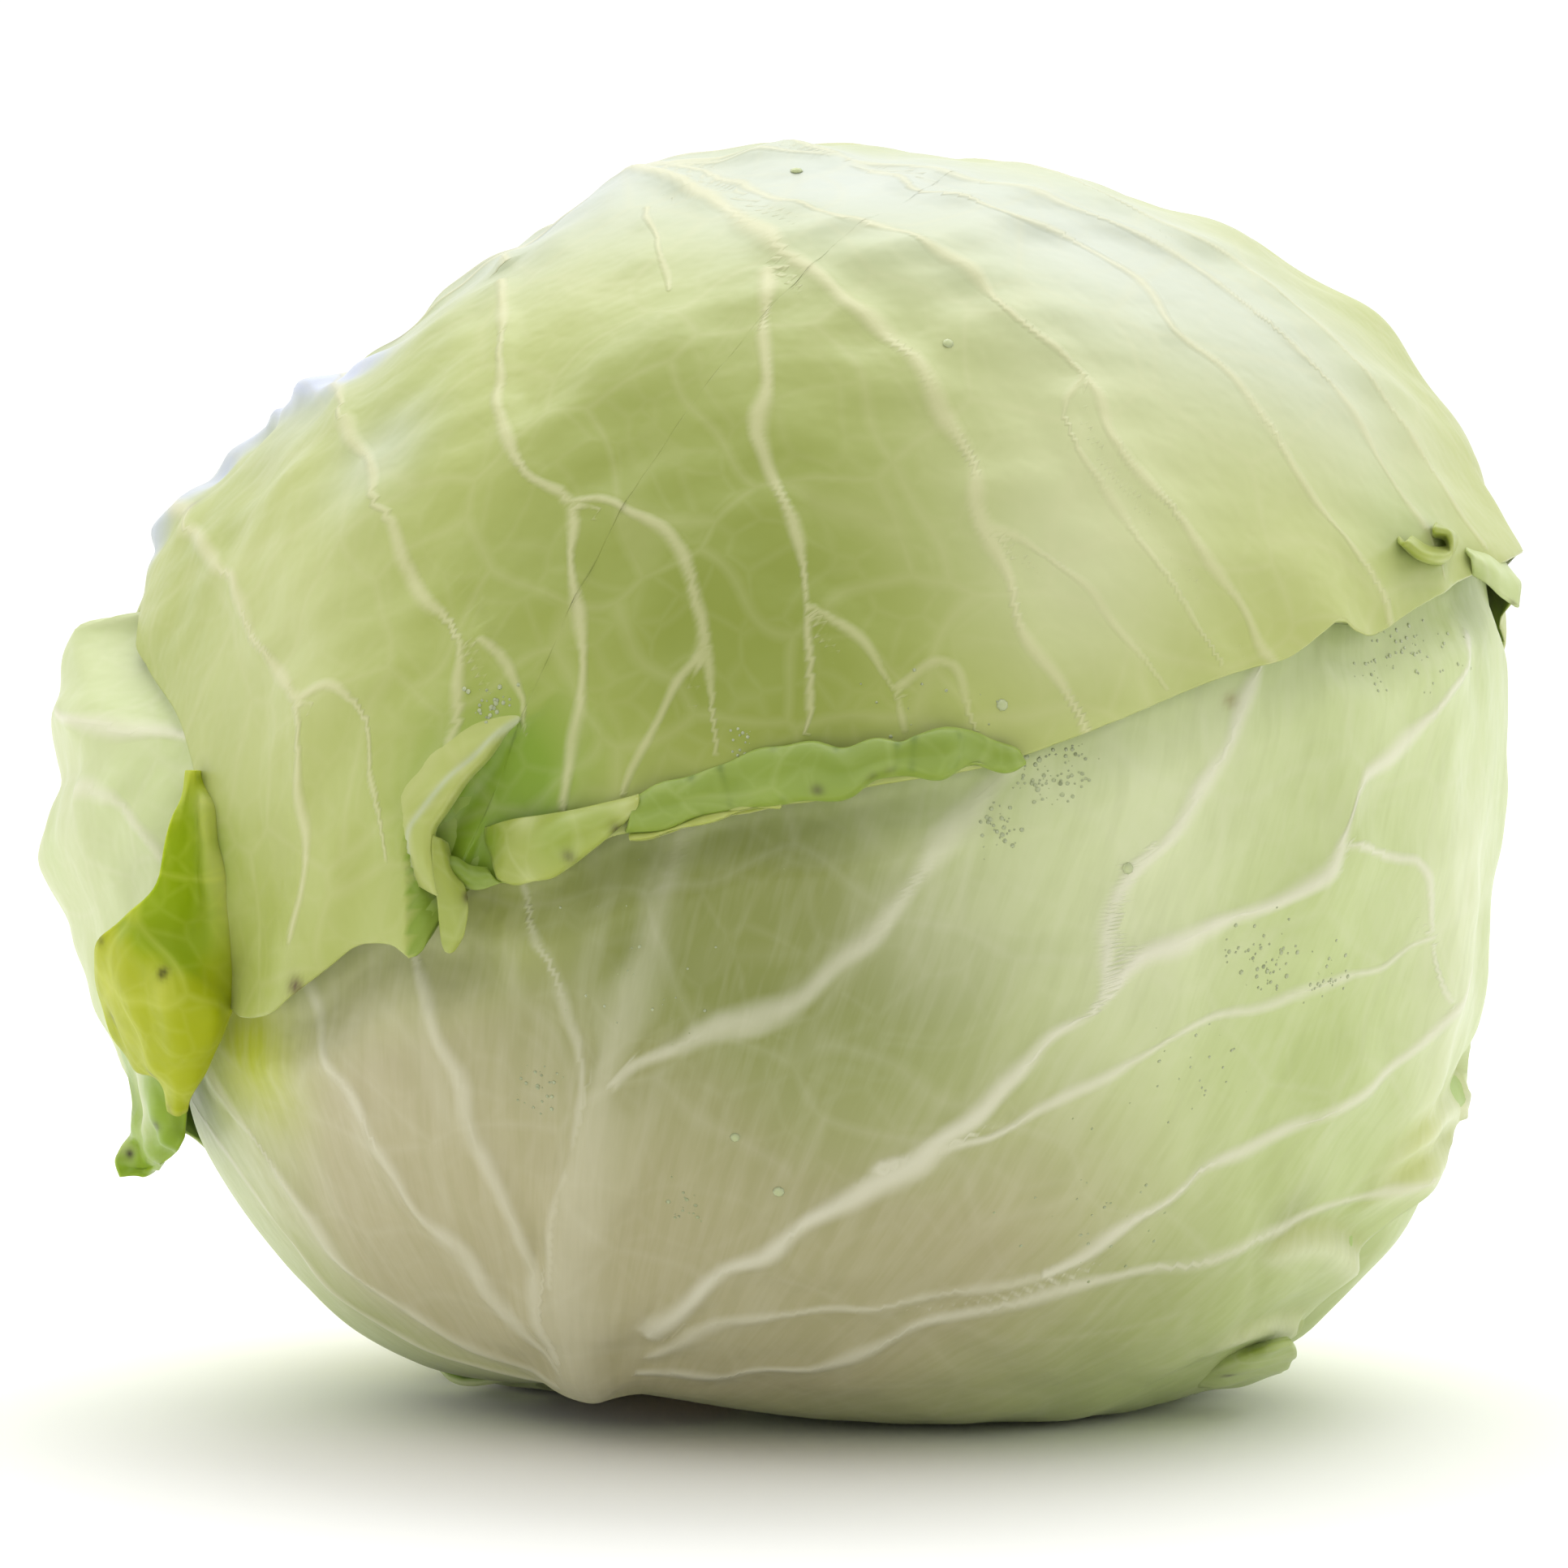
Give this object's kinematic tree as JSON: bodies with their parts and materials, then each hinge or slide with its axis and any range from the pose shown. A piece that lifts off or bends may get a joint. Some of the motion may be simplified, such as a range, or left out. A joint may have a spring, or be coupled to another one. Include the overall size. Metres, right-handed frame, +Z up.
{
  "type": "cabbage head",
  "caption": "Green cabbage head lying on its side: wrapper leaves with curled margins over a tight inner head, on a cut stalk.",
  "frame": {"origin": "middle of the flattened spot that the head rests on, straight below the middle of the head", "axes": "+Z up; -Y towards the front of the head; +X to the right as seen from the front; the cut stalk points down, left and forwards"},
  "size_m": [0.1767, 0.1685, 0.1523],
  "materials": {
    "top_leaf": "waxy green leaf, semi-matt",
    "front_leaf": "pale waxy leaf, whitish near the stalk, semi-matt",
    "left_leaf": "pale waxy leaf, semi-matt",
    "right_leaf": "pale waxy leaf, semi-matt",
    "back_leaf": "pale waxy leaf, semi-matt",
    "inner_leaves": "whitish green packed leaves, semi-matt",
    "cut_stalk": "dry cut stalk, browned at the rim, matt"
  },
  "bodies": {
    "root": {"leaf_top": "top_leaf", "leaf_front": "front_leaf", "leaf_left": "left_leaf", "leaf_right": "right_leaf", "leaf_back": "back_leaf", "inner_head": "inner_leaves", "stalk": "cut_stalk"}
  },
  "joints": []
}
